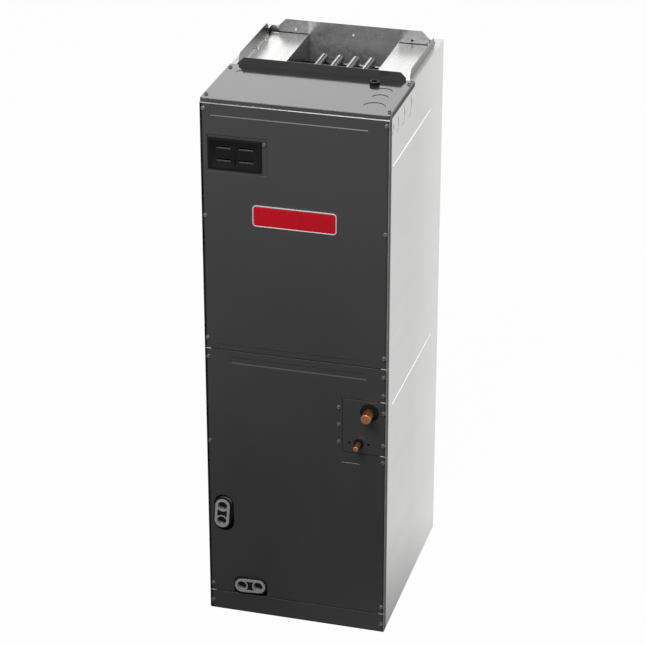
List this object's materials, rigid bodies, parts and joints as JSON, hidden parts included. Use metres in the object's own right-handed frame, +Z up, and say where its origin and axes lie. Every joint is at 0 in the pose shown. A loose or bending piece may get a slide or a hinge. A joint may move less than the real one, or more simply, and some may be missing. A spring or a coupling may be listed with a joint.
{
  "type": "air handler",
  "caption": "Upright sheet-metal air handler: dark removable front panels, coil, blower, heater tubes in a flanged top outlet, capped copper stubs and paired drain ports.",
  "frame": {"origin": "centre of the cabinet's footprint at the floor, which is the centre of the return opening", "axes": "+X to the right seen from the front, +Y to the back, +Z up"},
  "size_m": [0.447, 0.5714, 1.3762],
  "materials": {
    "dark_paint": "satin",
    "cover_paint": "gloss",
    "galvanised": "spangled",
    "screw_steel": "dark zinc",
    "black_plastic": "semi-gloss",
    "pan_plastic": "matte",
    "grey_plastic": "matte",
    "rubber": "matte",
    "copper": "drawn",
    "brass": "turned",
    "fins": "plain",
    "badge": "gloss",
    "liner": "foil-faced",
    "heater_metal": "bright",
    "ceramic": "unglazed",
    "motor_paint": "satin",
    "board": "semi-gloss",
    "card": "matte",
    "media": "soft"
  },
  "bodies": {
    "cabinet": {"left_side_panel": "galvanised", "right_side_panel": "galvanised", "back_panel": "galvanised", "base_pan": "galvanised", "top_front_rail": "galvanised", "top_cover": "cover_paint", "top_cover_screws": "screw_steel", "wire_bushing": "black_plastic", "left_outlet_ledge": "galvanised", "right_outlet_ledge": "galvanised", "rear_outlet_wall": "galvanised", "insulation_liners": "liner", "blower_deck": "galvanised", "tubing_frame": "dark_paint", "coil_rails": "galvanised", "upflow_drain_pan": "pan_plastic", "upflow_drain_fitting": "grey_plastic", "side_drain_pan": "pan_plastic", "side_drain_fitting": "grey_plastic", "left_coil_slab": "fins", "right_coil_slab": "fins", "coil_end_plates": "galvanised", "return_bends": "copper", "delta_plates": "galvanised", "apex_baffle": "galvanised", "suction_line": "copper", "liquid_line": "copper", "expansion_valve": "brass", "distributor": "copper", "filter_rails": "galvanised", "blower_scroll": "galvanised", "blower_left_side": "galvanised", "blower_right_side": "galvanised", "motor_shell": "motor_paint", "motor_module": "pan_plastic", "motor_mount": "galvanised", "heater_rack": "galvanised", "heater_tubes": "heater_metal", "heater_bushings": "ceramic", "control_bracket": "galvanised", "control_board": "board", "transformer": "motor_paint", "breaker_block": "black_plastic"},
    "blower_rotor": {"blower_wheel": "galvanised", "wheel_blades": "galvanised", "motor_shaft": "screw_steel"},
    "upper_panel": {"upper_access_panel": "dark_paint", "upper_panel_screws": "screw_steel", "breaker_cover": "black_plastic", "name_plate": "badge"},
    "lower_panel": {"lower_access_panel": "dark_paint", "lower_panel_screws": "screw_steel"},
    "tubing_cover": {"tubing_panel": "dark_paint", "tubing_panel_screws": "screw_steel", "suction_grommet": "rubber", "liquid_grommet": "rubber"},
    "filter_door": {"filter_access_panel": "dark_paint", "filter_panel_screws": "screw_steel"},
    "filter": {"filter_frame": "card", "filter_media": "media"}
  },
  "joints": [
    {"name": "blower_spin", "type": "hinge", "parent": "cabinet", "child": "blower_rotor", "pos_m": [0, 0.05, 0.985], "axis": [1, 0, 0], "continuous": true},
    {"name": "upper_panel_pull", "type": "slide", "parent": "cabinet", "child": "upper_panel", "axis": [0, -1, 0], "range_m": [0, 0.3]},
    {"name": "lower_panel_pull", "type": "slide", "parent": "cabinet", "child": "lower_panel", "axis": [0, -1, 0], "range_m": [0, 0.3]},
    {"name": "tubing_panel_pull", "type": "slide", "parent": "cabinet", "child": "tubing_cover", "axis": [0, -1, 0], "range_m": [0, 0.15]},
    {"name": "filter_panel_pull", "type": "slide", "parent": "cabinet", "child": "filter_door", "axis": [0, -1, 0], "range_m": [0, 0.6]},
    {"name": "filter_slide", "type": "slide", "parent": "cabinet", "child": "filter", "axis": [0, -1, 0], "range_m": [0, 0.54]}
  ],
  "couplings": [
    {"joint": "filter_slide", "follows": "filter_panel_pull", "ratio": 0.9}
  ]
}
